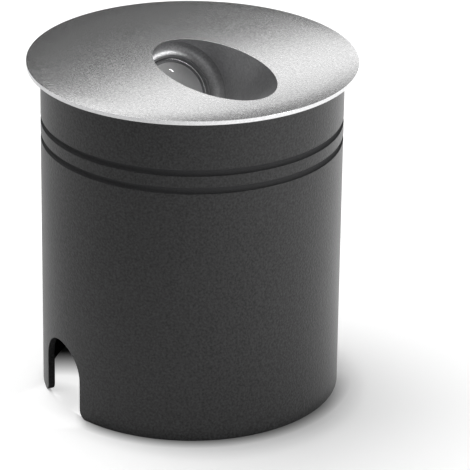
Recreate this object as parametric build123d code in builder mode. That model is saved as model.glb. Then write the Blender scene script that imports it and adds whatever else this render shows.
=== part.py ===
"""Recessed marker light: a turned lamp with an oblique light scoop, push-fitted in a mounting sleeve.

Millimetres, +Z up. The origin is the centre of the sleeve's bottom edge, the beam leaves towards +X
and the cable notch faces -Y.
"""

import os
from math import cos, radians, sin

from build123d import *

# Mounting sleeve
sleeve_diameter = 82.5
sleeve_wall = 2.0
sleeve_length = 94.0
sleeve_lead_in = 0.8
groove_drop = 15.3
groove_pitch = 5.05
groove_width = 1.7
groove_count = 2
notch_width = 18.0
notch_height = 20.0
notch_corner = 2.5

# Grip rings that hold the lamp in the sleeve
grip_section = 2.6
grip_clearance = 0.05
grip_side_clearance = 0.2
upper_grip_drop = 5.0
lower_grip_rise = 3.0

# Lamp head: flange, face and skirt
flange_overhang = 3.75
rim_thickness = 1.25
rim_break = 0.1
face_crown = 1.1
face_thickness = 4.0
register_depth = 0.25
register_clearance = 0.2
spigot_clearance = 0.4
skirt_length = 12.0
skirt_wall = 2.0

# Light scoop
beam_tilt = 56.0
scoop_offset = 10.35
scoop_diameter = 27.0
scoop_wall = 2.0
scoop_cover = 1.7
seat_flat = 0.1
lens_hole_diameter = 21.0
seat_land = 0.8

# Light engine, from the lens back to the plug
lens_overlap = 2.0
lens_edge = 1.8
lens_step = 0.5
lens_crown = 0.6
lens_clearance = 0.1
gasket_thickness = 1.2
gasket_lip = 0.45
bezel_width = 0.35
bezel_height = 0.6
trim_clearance = 0.05
optic_height = 8.6
optic_rim = 1.0
optic_gap = 0.1
optic_lift = 0.5
optic_waist = 7.6
optic_ledge = 0.5
optic_flare_slope = 0.2
optic_well_depth = 2.9
holder_wall = 1.6
holder_clearance = 0.2
led_width = 3.5
led_height = 0.8
led_dome_diameter = 2.8
led_well_clearance = 0.35
led_board_thickness = 1.6
led_board_clearance = 0.4
thermal_pad_thickness = 0.3
plug_thickness = 5.0
plug_engagement = 3.5
plug_slot_width = 2.0
plug_slot_depth = 1.2
thread_clearance = 0.05

# Rear housing
can_gasket_thickness = 1.5
can_step = 0.6
can_wall = 2.25
can_length = 46.5
can_base = 6.0
can_fillet = 1.5
can_edge = 0.8

# Screws that tie the housing to the head
tie_screw_diameter = 4.0
tie_screw_engagement = 5.2
tie_screw_count = 3
tie_head_diameter = 7.0
tie_head_height = 2.4
tie_socket = 2.5
tie_socket_depth = 1.4
tie_seal_thickness = 0.8
tie_hole_clearance = 0.2
tie_head_clearance = 0.4
boss_diameter = 7.5
boss_overlap = 0.6
boss_tip_clearance = 1.5

# Driver board and what stands on it
board_thickness = 1.6
board_clearance = 3.2
board_hole_clearance = 0.2
board_edge_margin = 1.0
cable_hole_clearance = 2.5
standoff_height = 3.5
standoff_diameter = 6.0
standoff_count = 3
standoff_angle = 90.0
standoff_margin = 2.0
board_screw_diameter = 2.5
board_screw_length = 6.0
board_screw_head = 5.0
board_screw_head_height = 1.8
board_screw_slot = 0.7
board_screw_slot_depth = 0.9
part_gap = 1.2
core_length = 13.0
core_height = 12.0
core_width = 6.5
core_leg = 2.2
winding_overhang = 2.6
winding_clearance = 0.2
winding_corner = 1.5
input_capacitor_diameter = 8.0
input_capacitor_height = 12.0
input_capacitor_angle = 40.0
output_capacitor_diameter = 8.0
output_capacitor_height = 11.0
output_capacitor_angle = -87.0
capacitor_fillet = 0.6
film_length = 9.0
film_width = 4.5
film_height = 8.0
film_margin = 2.0
film_corner = 0.6
film_angle = 130.0
choke_diameter = 8.0
choke_height = 9.0
choke_flange = 1.2
choke_waist = 0.8
choke_angle = -126.0
rectifier_length = 6.5
rectifier_width = 5.0
rectifier_height = 2.4
chip_length = 5.0
chip_width = 4.0
chip_height = 1.5
fuse_length = 9.0
fuse_diameter = 3.6
block_pitch = 5.0
block_poles = 2
block_depth = 8.0
block_height = 10.0
block_screw_diameter = 3.0
block_screw_depth = 5.0
block_screw_sink = 1.0
block_entry_diameter = 2.6
block_entry_height = 3.0

# Cable gland
cable_diameter = 6.5
gland_thread_diameter = 12.0
gland_hex = 16.0
gland_collar = 5.0
gland_barrel = 7.0
gland_barrel_wall = 1.6
gland_ring_section = 1.4
gland_cable_clearance = 0.75
gland_nut_length = 11.0
gland_nut_flats = 7.0
gland_nut_dome = 2.5
gland_nut_overlap = 5.5
gland_nut_lip = 1.6
gland_clearance = 0.1
gland_seal_wall = 1.5

# Wires between the board and the light source
lead_diameter = 1.6
lead_spacing = 6.0
lead_drop = 6.5
lead_run = 4.0
lead_bend = 3.0
lead_landing = 4.2
lead_rise = 8.0
lead_clearance = 0.3

# Sleeve and spigot radii
sleeve_radius = sleeve_diameter / 2
bore_radius = sleeve_radius - sleeve_wall
spigot_radius = bore_radius - spigot_clearance
grip_ring_radius = bore_radius - grip_clearance - grip_section / 2
grip_floor_radius = bore_radius - 2 * grip_clearance - grip_section
grip_groove = grip_section + 2 * grip_side_clearance
skirt_radius = grip_floor_radius - skirt_wall
can_radius = spigot_radius - can_step
can_bore_radius = can_radius - can_wall
flange_radius = sleeve_radius + flange_overhang
register_radius = sleeve_radius + register_clearance

# Heights, from the sleeve's bottom edge up
seat_z = sleeve_length
flange_z = seat_z - register_depth
rim_z = flange_z + rim_thickness
crown_z = rim_z + face_crown
ceiling_z = rim_z - face_thickness
skirt_z = seat_z - skirt_length
upper_grip_z = seat_z - upper_grip_drop
can_top_z = skirt_z - can_gasket_thickness
can_bottom_z = can_top_z - can_length
floor_z = can_bottom_z + can_base
lower_grip_z = can_bottom_z + lower_grip_rise
board_z = floor_z + standoff_height
board_top_z = board_z + board_thickness

# The beam's axis crosses the rim's plane at beam_origin. Distances along it are positive outwards.
tilt = radians(beam_tilt)
beam_direction = Vector(sin(tilt), 0, cos(tilt))
beam_origin = Vector(scoop_offset, 0, rim_z)
beam_axis = Axis(beam_origin, beam_direction)
beam_plane = Plane(beam_origin, x_dir=beam_direction, z_dir=(0, -1, 0))

# Places along the beam's axis
scoop_radius = scoop_diameter / 2
lens_hole_radius = lens_hole_diameter / 2
seat_fillet = scoop_radius - lens_hole_radius - seat_flat
seat_s = -(scoop_cover + scoop_radius * sin(tilt)) / cos(tilt)
land_s = seat_s - seat_land
lens_s = land_s - gasket_thickness
lens_back_s = lens_s - lens_edge
optic_s = lens_back_s - optic_gap
led_board_s = lens_back_s - optic_height
pad_s = led_board_s - led_board_thickness
plug_s = pad_s - thermal_pad_thickness
plug_back_s = plug_s - plug_thickness
tail_s = plug_s - plug_engagement
scoop_reach = 4 * flange_radius

# Radii about the beam's axis
lens_radius = lens_hole_radius + lens_overlap
pocket_radius = lens_radius + lens_clearance
shell_radius = max(scoop_radius, pocket_radius) + scoop_wall
collar_radius = lens_hole_radius - trim_clearance
gasket_bore = collar_radius - gasket_lip
bezel_radius = gasket_bore - trim_clearance
bezel_bore = bezel_radius - bezel_width
lens_boss_radius = bezel_bore - trim_clearance
holder_radius = pocket_radius - holder_clearance
optic_radius = holder_radius - holder_wall
optic_seat_s = optic_s - optic_rim
optic_back_s = led_board_s + optic_lift
optic_well_s = led_board_s + optic_well_depth
led_well_radius = led_width * 2**0.5 / 2 + led_well_clearance
plug_radius = pocket_radius - thread_clearance
led_board_radius = pocket_radius - led_board_clearance

# Tie screws
tie_radius = tie_screw_diameter / 2
tie_circle = skirt_radius - boss_diameter / 2 + boss_overlap
tie_seat_z = can_bottom_z + tie_head_height + tie_seal_thickness
tie_tip_z = skirt_z + tie_screw_engagement
tie_hole_radius = tie_radius + tie_hole_clearance
tie_bore_radius = tie_head_diameter / 2 + tie_head_clearance

# Driver board outline, inside the tie screws
board_radius = tie_circle - tie_radius - board_clearance
cable_hole_radius = cable_diameter / 2 + cable_hole_clearance
standoff_circle = board_radius - board_screw_head / 2 - standoff_margin

# Cable gland
gland_thread_radius = gland_thread_diameter / 2
gland_collar_z = can_bottom_z - gland_collar
gland_barrel_z = gland_collar_z - gland_barrel
gland_seal_radius = cable_diameter / 2 + gland_seal_wall
gland_barrel_bore = gland_seal_radius + gland_clearance
gland_barrel_radius = gland_barrel_bore + gland_barrel_wall
gland_ring_inner = gland_thread_radius + gland_clearance
gland_ring_outer = gland_ring_inner + gland_ring_section + 2 * gland_clearance
gland_nut_top_z = gland_barrel_z + gland_nut_overlap
gland_nut_z = gland_nut_top_z - gland_nut_length

# Leads, in the cross-plane of the beam: one each side of the middle, below the axis
lead_places = [(lead_spacing / 2, -lead_drop), (-lead_spacing / 2, -lead_drop)]
lead_hole_radius = lead_diameter / 2 + lead_clearance

os.makedirs("parts", exist_ok=True)


def beam_station(distance):
    """Cross-plane of the beam at a distance along its axis: local X is +Y, local Y leans upwards."""
    return Plane(beam_origin + beam_direction * distance, x_dir=(0, 1, 0), z_dir=beam_direction)


def save(piece, name):
    """Label a finished piece and write it to its own file."""
    piece.part.label = name
    export_step(piece.part, f"parts/{name}.step")


# Mounting sleeve: an open tube with two half-round grooves and an arched notch for the conduit, round at its corners
with BuildPart() as mounting_sleeve:
    with BuildSketch():
        Circle(sleeve_radius)
        Circle(bore_radius, mode=Mode.SUBTRACT)
    extrude(amount=sleeve_length)
    mouth = mounting_sleeve.faces().sort_by(Axis.Z)[-1].edges().sort_by(SortBy.RADIUS)[0]
    chamfer(mouth, length=sleeve_lead_in)
    for number in range(groove_count):
        with Locations((0, 0, sleeve_length - groove_drop - number * groove_pitch)):
            Torus(sleeve_radius, groove_width / 2, mode=Mode.SUBTRACT)
    with BuildSketch(Plane.XZ):
        with Locations((0, notch_height - notch_width / 2)):
            Circle(notch_width / 2)
        Rectangle(notch_width, notch_height - notch_width / 2, align=(Align.CENTER, Align.MIN))
    extrude(amount=sleeve_diameter, mode=Mode.SUBTRACT)
    corners = mounting_sleeve.edges().filter_by(Axis.Y).group_by(Axis.Z)[0]
    fillet(corners, radius=notch_corner)
save(mounting_sleeve, "mounting_sleeve")

# Grip rings: one round the head's skirt, one round the base of the rear housing
with BuildPart(Plane.XY.offset(upper_grip_z)) as upper_grip_ring:
    Torus(grip_ring_radius, grip_section / 2)
save(upper_grip_ring, "upper_grip_ring")

with BuildPart(Plane.XY.offset(lower_grip_z)) as lower_grip_ring:
    Torus(grip_ring_radius, grip_section / 2)
save(lower_grip_ring, "lower_grip_ring")

# Scoop body: the oblique tube that hangs under the face and holds the light engine
with BuildPart() as scoop_body:
    with BuildSketch(beam_station(tail_s)):
        Circle(shell_radius)
    extrude(amount=scoop_reach)
    split(bisect_by=Plane.XY.offset(rim_z), keep=Keep.BOTTOM)

# Lamp head: turned face and skirt with the scoop's stepped bore and three screw bosses
with BuildPart() as lamp_head:
    with BuildSketch(Plane.XZ):
        with BuildLine():
            dome = TangentArc((0, crown_z), (flange_radius - rim_break, rim_z), tangent=(1, 0))
            Polyline(
                dome @ 1,
                (flange_radius, rim_z - rim_break),
                (flange_radius, flange_z),
                (register_radius, flange_z),
                (register_radius, seat_z),
                (spigot_radius, seat_z),
                (spigot_radius, upper_grip_z + grip_groove / 2),
                (grip_floor_radius, upper_grip_z + grip_groove / 2),
                (grip_floor_radius, upper_grip_z - grip_groove / 2),
                (spigot_radius, upper_grip_z - grip_groove / 2),
                (spigot_radius, skirt_z),
                (skirt_radius, skirt_z),
                (skirt_radius, ceiling_z),
                (0, ceiling_z),
                dome @ 0,
            )
        make_face()
    revolve(axis=Axis.Z)
    with BuildSketch(Plane.XY.offset(skirt_z)):
        with PolarLocations(tie_circle, tie_screw_count):
            Circle(boss_diameter / 2)
    extrude(amount=rim_z - skirt_z)
    add(scoop_body.part)
    with BuildSketch(beam_plane):
        with BuildLine():
            scoop_wall_line = Line((scoop_reach, scoop_radius), (seat_s + seat_fillet, scoop_radius))
            seat_bend = TangentArc(
                scoop_wall_line @ 1,
                (seat_s, scoop_radius - seat_fillet),
                tangent=scoop_wall_line % 1,
            )
            Polyline(
                seat_bend @ 1,
                (seat_s, lens_hole_radius),
                (land_s, lens_hole_radius),
                (land_s, pocket_radius),
                (plug_back_s, pocket_radius),
                (plug_back_s, 0),
                (scoop_reach, 0),
                scoop_wall_line @ 0,
            )
        make_face()
    revolve(axis=beam_axis, mode=Mode.SUBTRACT)
    with BuildSketch(Plane.XY.offset(skirt_z)):
        with PolarLocations(tie_circle, tie_screw_count):
            Circle(tie_radius + thread_clearance)
    extrude(amount=tie_tip_z + boss_tip_clearance - skirt_z, mode=Mode.SUBTRACT)
save(lamp_head, "lamp_head")

# Lens gasket: a flat ring behind the seat with a lip that lines the lens hole
with BuildPart() as lens_gasket:
    with BuildSketch(beam_plane):
        with BuildLine():
            Polyline(
                (seat_s, gasket_bore),
                (seat_s, collar_radius),
                (land_s, collar_radius),
                (land_s, lens_radius),
                (lens_s, lens_radius),
                (lens_s, gasket_bore),
                close=True,
            )
        make_face()
    revolve(axis=beam_axis)
save(lens_gasket, "lens_gasket")

# Lens bezel: the polished ring between the gasket and the raised part of the lens
with BuildPart() as lens_bezel:
    with BuildSketch(beam_plane):
        with Locations((lens_s, bezel_bore)):
            Rectangle(bezel_height, bezel_width, align=(Align.MIN, Align.MIN))
    revolve(axis=beam_axis)
save(lens_bezel, "lens_bezel")

# Front lens: a glass disc with a raised, slightly domed front
with BuildPart() as front_lens:
    with BuildSketch(beam_plane):
        with BuildLine():
            lens_dome = TangentArc(
                (lens_s + lens_step + lens_crown, 0),
                (lens_s + lens_step, lens_boss_radius),
                tangent=(0, 1),
            )
            Polyline(
                lens_dome @ 1,
                (lens_s, lens_boss_radius),
                (lens_s, lens_radius),
                (lens_back_s, lens_radius),
                (lens_back_s, 0),
                lens_dome @ 0,
            )
        make_face()
    revolve(axis=beam_axis)
save(front_lens, "front_lens")

# Collimator: a clear optic that widens from the light source to its front rim
with BuildPart() as collimator:
    with BuildSketch(beam_plane):
        with BuildLine():
            flare = TangentArc(
                (optic_seat_s, optic_radius - optic_rim),
                (optic_back_s, optic_waist / 2),
                tangent=(-1, -optic_flare_slope),
            )
            Polyline(
                flare @ 1,
                (optic_back_s, led_well_radius),
                (optic_well_s, led_well_radius),
                (optic_well_s, 0),
                (optic_s, 0),
                (optic_s, optic_radius - trim_clearance),
                (optic_seat_s, optic_radius - trim_clearance),
                flare @ 0,
            )
        make_face()
    revolve(axis=beam_axis)
save(collimator, "collimator")

# Collimator holder: a cup that carries the optic by its rim and stands on the light source's board
with BuildPart() as collimator_holder:
    with BuildSketch(beam_plane):
        with BuildLine():
            Polyline(
                (lens_back_s, optic_radius),
                (lens_back_s, holder_radius),
                (led_board_s, holder_radius),
                (led_board_s, optic_radius),
                (optic_seat_s, optic_radius - optic_ledge),
                (optic_seat_s, optic_radius),
                close=True,
            )
        make_face()
    revolve(axis=beam_axis)
save(collimator_holder, "collimator_holder")

# Light source: a square package with a domed cap, on a round metal-cored board
with BuildPart() as led_package:
    with BuildSketch(beam_station(led_board_s)):
        Rectangle(led_width, led_width)
    extrude(amount=led_height)
save(led_package, "led_package")

with BuildPart() as led_dome:
    with BuildSketch(beam_plane):
        with BuildLine():
            cap = CenterArc((led_board_s + led_height, 0), led_dome_diameter / 2, 0, 90)
            Polyline(cap @ 1, (led_board_s + led_height, 0), cap @ 0)
        make_face()
    revolve(axis=beam_axis)
save(led_dome, "led_dome")

with BuildPart() as led_board:
    with BuildSketch(beam_station(pad_s)):
        Circle(led_board_radius)
    extrude(amount=led_board_thickness)
save(led_board, "led_board")

# Thermal pad and heat sink plug, both with passages for the two leads
with BuildPart() as thermal_pad:
    with BuildSketch(beam_station(plug_s)):
        Circle(led_board_radius)
        with Locations(*lead_places):
            Circle(lead_hole_radius, mode=Mode.SUBTRACT)
    extrude(amount=thermal_pad_thickness)
save(thermal_pad, "thermal_pad")

with BuildPart() as heat_sink_plug:
    with BuildSketch(beam_station(plug_back_s)):
        Circle(plug_radius)
        with Locations(*lead_places):
            Circle(lead_hole_radius, mode=Mode.SUBTRACT)
    extrude(amount=plug_thickness)
    with BuildSketch(beam_station(plug_back_s)):
        Rectangle(2 * plug_radius, plug_slot_width)
    extrude(amount=plug_slot_depth, mode=Mode.SUBTRACT)
save(heat_sink_plug, "heat_sink_plug")

# Rear housing: a cup under the skirt, sealed by a flat gasket
with BuildPart() as can_gasket:
    with BuildSketch(Plane.XY.offset(can_top_z)):
        Circle(can_radius)
        Circle(can_bore_radius, mode=Mode.SUBTRACT)
    extrude(amount=can_gasket_thickness)
save(can_gasket, "can_gasket")

with BuildPart() as driver_can:
    with BuildSketch(Plane.XZ):
        with BuildLine():
            corner = TangentArc(
                (can_bore_radius, floor_z + can_fillet),
                (can_bore_radius - can_fillet, floor_z),
                tangent=(0, -1),
            )
            Polyline(
                corner @ 1,
                (0, floor_z),
                (0, can_bottom_z),
                (can_radius - can_edge, can_bottom_z),
                (can_radius, can_bottom_z + can_edge),
                (can_radius, lower_grip_z - grip_groove / 2),
                (grip_floor_radius, lower_grip_z - grip_groove / 2),
                (grip_floor_radius, lower_grip_z + grip_groove / 2),
                (can_radius, lower_grip_z + grip_groove / 2),
                (can_radius, can_top_z),
                (can_bore_radius, can_top_z),
                corner @ 0,
            )
        make_face()
    revolve(axis=Axis.Z)
    with BuildSketch(Plane.XY.offset(floor_z)):
        with PolarLocations(standoff_circle, standoff_count, start_angle=standoff_angle):
            Circle(standoff_diameter / 2)
    extrude(amount=standoff_height)
    with BuildSketch(Plane.XY.offset(board_z)):
        with PolarLocations(standoff_circle, standoff_count, start_angle=standoff_angle):
            Circle(board_screw_diameter / 2 + thread_clearance)
    extrude(amount=-board_screw_length, mode=Mode.SUBTRACT)
    with BuildSketch(Plane.XY.offset(can_bottom_z)):
        Circle(gland_thread_radius + thread_clearance)
        with PolarLocations(tie_circle, tie_screw_count):
            Circle(tie_hole_radius)
    extrude(amount=can_base, mode=Mode.SUBTRACT)
    with BuildSketch(Plane.XY.offset(can_bottom_z)):
        with PolarLocations(tie_circle, tie_screw_count):
            Circle(tie_bore_radius)
    extrude(amount=tie_seat_z - can_bottom_z, mode=Mode.SUBTRACT)
save(driver_can, "driver_can")

# Tie screws from the housing's base up to the head's bosses, each on a soft washer
with BuildPart() as can_screws:
    with BuildSketch(Plane.XY.offset(can_bottom_z)):
        with PolarLocations(tie_circle, tie_screw_count):
            Circle(tie_head_diameter / 2)
    extrude(amount=tie_head_height)
    with BuildSketch(Plane.XY.offset(can_bottom_z + tie_head_height)):
        with PolarLocations(tie_circle, tie_screw_count):
            Circle(tie_radius)
    extrude(amount=tie_tip_z - can_bottom_z - tie_head_height)
    with BuildSketch(Plane.XY.offset(can_bottom_z)):
        with PolarLocations(tie_circle, tie_screw_count):
            RegularPolygon(tie_socket / 2, 6, major_radius=False)
    extrude(amount=tie_socket_depth, mode=Mode.SUBTRACT)
save(can_screws, "can_screws")

with BuildPart() as screw_seals:
    with BuildSketch(Plane.XY.offset(can_bottom_z + tie_head_height)):
        with PolarLocations(tie_circle, tie_screw_count):
            Circle(tie_head_diameter / 2)
            Circle(tie_hole_radius, mode=Mode.SUBTRACT)
    extrude(amount=tie_seal_thickness)
save(screw_seals, "screw_seals")

# Driver board on three standoffs, with a hole for the cable's cores
with BuildPart() as driver_board:
    with BuildSketch(Plane.XY.offset(board_z)):
        Circle(board_radius)
        Circle(cable_hole_radius, mode=Mode.SUBTRACT)
        with PolarLocations(standoff_circle, standoff_count, start_angle=standoff_angle):
            Circle(board_screw_diameter / 2 + board_hole_clearance, mode=Mode.SUBTRACT)
    extrude(amount=board_thickness)
save(driver_board, "driver_board")

with BuildPart() as board_screws:
    with BuildSketch(Plane.XY.offset(board_top_z)):
        with PolarLocations(standoff_circle, standoff_count, start_angle=standoff_angle):
            Circle(board_screw_head / 2)
    extrude(amount=board_screw_head_height)
    with BuildSketch(Plane.XY.offset(board_top_z)):
        with PolarLocations(standoff_circle, standoff_count, start_angle=standoff_angle):
            Circle(board_screw_diameter / 2)
    extrude(amount=-board_screw_length)
    with BuildSketch(Plane.XY.offset(board_top_z + board_screw_head_height)):
        with PolarLocations(standoff_circle, standoff_count, start_angle=standoff_angle):
            Rectangle(board_screw_head, board_screw_slot)
    extrude(amount=-board_screw_slot_depth, mode=Mode.SUBTRACT)
save(board_screws, "board_screws")

# Transformer: a ferrite frame with its winding through the window
transformer_x = cable_hole_radius + part_gap + core_length / 2
with BuildPart() as transformer_core:
    with BuildSketch(Plane.XZ.offset(-core_width / 2)):
        with Locations((transformer_x, board_top_z + core_height / 2)):
            Rectangle(core_length, core_height)
            Rectangle(core_length - 2 * core_leg, core_height - 2 * core_leg, mode=Mode.SUBTRACT)
    extrude(amount=core_width)
save(transformer_core, "transformer_core")

with BuildPart() as transformer_winding:
    with BuildSketch(Plane.XZ.offset(-core_width / 2 - winding_overhang)):
        with Locations((transformer_x, board_top_z + core_height / 2)):
            RectangleRounded(
                core_length - 2 * core_leg - 2 * winding_clearance,
                core_height - 2 * core_leg - 2 * winding_clearance,
                winding_corner,
            )
    extrude(amount=core_width + 2 * winding_overhang)
save(transformer_winding, "transformer_winding")

# Electrolytic capacitors: round cans with a softened top edge
with BuildPart() as input_capacitor:
    input_circle = board_radius - input_capacitor_diameter / 2 - board_edge_margin
    with BuildSketch(Plane.XY.offset(board_top_z)):
        with PolarLocations(input_circle, 1, start_angle=input_capacitor_angle):
            Circle(input_capacitor_diameter / 2)
    extrude(amount=input_capacitor_height)
    fillet(input_capacitor.faces().sort_by(Axis.Z)[-1].edges(), radius=capacitor_fillet)
save(input_capacitor, "input_capacitor")

with BuildPart() as output_capacitor:
    output_circle = board_radius - output_capacitor_diameter / 2 - board_edge_margin
    with BuildSketch(Plane.XY.offset(board_top_z)):
        with PolarLocations(output_circle, 1, start_angle=output_capacitor_angle):
            Circle(output_capacitor_diameter / 2)
    extrude(amount=output_capacitor_height)
    fillet(output_capacitor.faces().sort_by(Axis.Z)[-1].edges(), radius=capacitor_fillet)
save(output_capacitor, "output_capacitor")

# Film capacitor: a moulded block set along the board's edge
with BuildPart() as film_capacitor:
    film_circle = board_radius - film_width / 2 - film_margin
    with BuildSketch(Plane.XY.offset(board_top_z)):
        with PolarLocations(film_circle, 1, start_angle=film_angle):
            RectangleRounded(film_width, film_length, film_corner)
    extrude(amount=film_height)
save(film_capacitor, "film_capacitor")

# Filter choke: a drum core with its wound waist
with BuildPart() as filter_choke:
    choke_circle = board_radius - choke_diameter / 2 - board_edge_margin
    with BuildSketch(Plane.XY.offset(board_top_z)):
        with PolarLocations(choke_circle, 1, start_angle=choke_angle):
            Circle(choke_diameter / 2)
    extrude(amount=choke_height)
    with BuildSketch(Plane.XY.offset(board_top_z + choke_flange)):
        with PolarLocations(choke_circle, 1, start_angle=choke_angle):
            Circle(choke_diameter / 2)
            Circle(choke_diameter / 2 - choke_waist, mode=Mode.SUBTRACT)
    extrude(amount=choke_height - 2 * choke_flange, mode=Mode.SUBTRACT)
save(filter_choke, "filter_choke")

# Rectifier, control chip and fuse resistor, round the cable's hole
with BuildPart() as rectifier:
    with BuildSketch(Plane.XY.offset(board_top_z)):
        with Locations((-cable_hole_radius - part_gap - rectifier_length / 2, 0)):
            Rectangle(rectifier_length, rectifier_width)
    extrude(amount=rectifier_height)
save(rectifier, "rectifier")

with BuildPart() as driver_chip:
    with BuildSketch(Plane.XY.offset(board_top_z)):
        with Locations((0, -cable_hole_radius - part_gap - chip_width / 2)):
            Rectangle(chip_length, chip_width)
    extrude(amount=chip_height)
save(driver_chip, "driver_chip")

fuse_y = rectifier_width / 2 + part_gap + fuse_diameter / 2
with BuildPart() as fuse_resistor:
    with BuildSketch(Plane.YZ.offset(-cable_hole_radius - part_gap - fuse_length)):
        with Locations((fuse_y, board_top_z + fuse_diameter / 2)):
            Circle(fuse_diameter / 2)
    extrude(amount=fuse_length)
save(fuse_resistor, "fuse_resistor")

# Terminal block: two wire entries that face the cable's hole, each under its own screw
block_y = cable_hole_radius + part_gap + block_depth / 2
with BuildPart() as terminal_block:
    with BuildSketch(Plane.XY.offset(board_top_z)):
        with Locations((0, block_y)):
            Rectangle(block_pitch * block_poles, block_depth)
    extrude(amount=block_height)
    with BuildSketch(Plane.XY.offset(board_top_z + block_height)):
        with Locations((0, block_y)):
            with GridLocations(block_pitch, 0, block_poles, 1):
                Circle(block_screw_diameter / 2 + thread_clearance)
    extrude(amount=-block_screw_depth, mode=Mode.SUBTRACT)
    with BuildSketch(Plane.XZ.offset(-block_y)):
        with Locations((0, board_top_z + block_entry_height)):
            with GridLocations(block_pitch, 0, block_poles, 1):
                Circle(block_entry_diameter / 2)
    extrude(amount=block_depth, mode=Mode.SUBTRACT)
save(terminal_block, "terminal_block")

with BuildPart() as terminal_screws:
    with BuildSketch(Plane.XY.offset(board_top_z + block_height - block_screw_depth)):
        with Locations((0, block_y)):
            with GridLocations(block_pitch, 0, block_poles, 1):
                Circle(block_screw_diameter / 2)
    extrude(amount=block_screw_depth - block_screw_sink)
save(terminal_screws, "terminal_screws")

# Leads from the board, up behind the plug and through it to the light source's board
lead_names = ("red_led_lead", "black_led_lead")
for lead_name, lead_place in zip(lead_names, lead_places):
    lead_start = beam_station(pad_s).from_local_coords(Vector(*lead_place))
    lead_turn = lead_start - beam_direction * (pad_s - plug_back_s + lead_run)
    lead_end = Vector(lead_landing - board_radius, lead_turn.Y, board_top_z)
    lead_knee = lead_end + Vector(0, 0, lead_rise)
    with BuildPart() as led_lead:
        with BuildLine():
            FilletPolyline(lead_start, lead_turn, lead_knee, lead_end, radius=lead_bend)
        with BuildSketch(Plane(lead_start, z_dir=-beam_direction)):
            Circle(lead_diameter / 2)
        sweep()
    save(led_lead, lead_name)

# Cable gland: body screwed into the housing's base, sealing ring, rubber seal and clamping nut
with BuildPart() as gland_body:
    with BuildSketch(Plane.XY.offset(gland_collar_z)):
        RegularPolygon(gland_hex / 2, 6, major_radius=False)
    extrude(amount=gland_collar)
    with BuildSketch(Plane.XY.offset(can_bottom_z)):
        Circle(gland_thread_radius)
    extrude(amount=can_base)
    with BuildSketch(Plane.XY.offset(gland_collar_z)):
        Circle(gland_barrel_radius)
    extrude(amount=-gland_barrel)
    with BuildSketch(Plane.XY.offset(can_bottom_z)):
        Circle(gland_ring_outer)
        Circle(gland_ring_inner, mode=Mode.SUBTRACT)
    extrude(amount=-gland_ring_section - gland_clearance, mode=Mode.SUBTRACT)
    with BuildSketch(Plane.XY.offset(gland_barrel_z)):
        Circle(gland_barrel_bore)
    extrude(amount=gland_barrel, mode=Mode.SUBTRACT)
    with BuildSketch(Plane.XY.offset(gland_collar_z)):
        Circle(cable_diameter / 2 + gland_cable_clearance)
    extrude(amount=gland_collar + can_base, mode=Mode.SUBTRACT)
save(gland_body, "gland_body")

with BuildPart(Plane.XY.offset(can_bottom_z - gland_ring_section / 2)) as gland_ring:
    Torus((gland_ring_inner + gland_ring_outer) / 2, gland_ring_section / 2)
save(gland_ring, "gland_ring")

with BuildPart() as gland_seal:
    with BuildSketch(Plane.XY.offset(gland_nut_z + gland_nut_lip)):
        Circle(gland_seal_radius)
        Circle(cable_diameter / 2, mode=Mode.SUBTRACT)
    extrude(amount=gland_collar_z - gland_nut_z - gland_nut_lip)
save(gland_seal, "gland_seal")

with BuildPart() as gland_nut:
    with BuildSketch(Plane.XY.offset(gland_nut_top_z - gland_nut_flats)):
        RegularPolygon(gland_hex / 2, 6, major_radius=False)
    extrude(amount=gland_nut_flats)
    with BuildSketch(Plane.XY.offset(gland_nut_z)):
        Circle(gland_hex / 2)
    extrude(amount=gland_nut_length - gland_nut_flats)
    fillet(gland_nut.faces().sort_by(Axis.Z)[0].edges(), radius=gland_nut_dome)
    with BuildSketch(Plane.XY.offset(gland_nut_top_z)):
        Circle(gland_barrel_radius + gland_clearance)
    extrude(amount=gland_nut_lip - gland_nut_length, mode=Mode.SUBTRACT)
    with BuildSketch(Plane.XY.offset(gland_nut_z)):
        Circle(cable_diameter / 2 + gland_cable_clearance)
    extrude(amount=gland_nut_lip, mode=Mode.SUBTRACT)
save(gland_nut, "gland_nut")
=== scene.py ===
"""Recessed marker light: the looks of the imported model, in its own frame. Sizes here are in millimetres."""

import bmesh
import bpy
import numpy as np
from mathutils import Matrix


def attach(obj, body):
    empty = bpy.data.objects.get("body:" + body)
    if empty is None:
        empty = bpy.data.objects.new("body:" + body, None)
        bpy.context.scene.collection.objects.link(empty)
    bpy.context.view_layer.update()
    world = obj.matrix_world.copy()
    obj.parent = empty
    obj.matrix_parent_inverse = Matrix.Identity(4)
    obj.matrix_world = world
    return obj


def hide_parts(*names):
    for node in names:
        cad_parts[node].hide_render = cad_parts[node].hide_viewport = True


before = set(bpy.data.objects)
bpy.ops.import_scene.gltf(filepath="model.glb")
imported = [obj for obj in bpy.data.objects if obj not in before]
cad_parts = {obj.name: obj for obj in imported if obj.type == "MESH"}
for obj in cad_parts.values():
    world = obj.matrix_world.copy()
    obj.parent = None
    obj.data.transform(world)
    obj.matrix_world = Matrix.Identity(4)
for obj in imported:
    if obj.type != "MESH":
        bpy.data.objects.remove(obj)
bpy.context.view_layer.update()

# Mounting sleeve. A drawn aluminium tube with two half-round grooves turned under its mouth and one arched
# notch, round at its corners, milled through its foot for the conduit. It is powder coated in a dark grey with
# a fine grain, and is set in the wall or floor with mortar.
sleeve_radius = 41.25
sleeve_bore = 39.25
sleeve_top = 94.0
sleeve_lead_in = 0.8
groove_radius = 0.85
groove_heights = (73.65, 78.7)
notch_half = 9.0
notch_spring = 11.0
notch_corner = 2.5
notch_frame_angle = np.radians(24)
notch_frame_top = 27.0
arch_steps, side_steps, frame_steps = 41, 33, 9
back_steps, groove_steps = 201, 15


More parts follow.
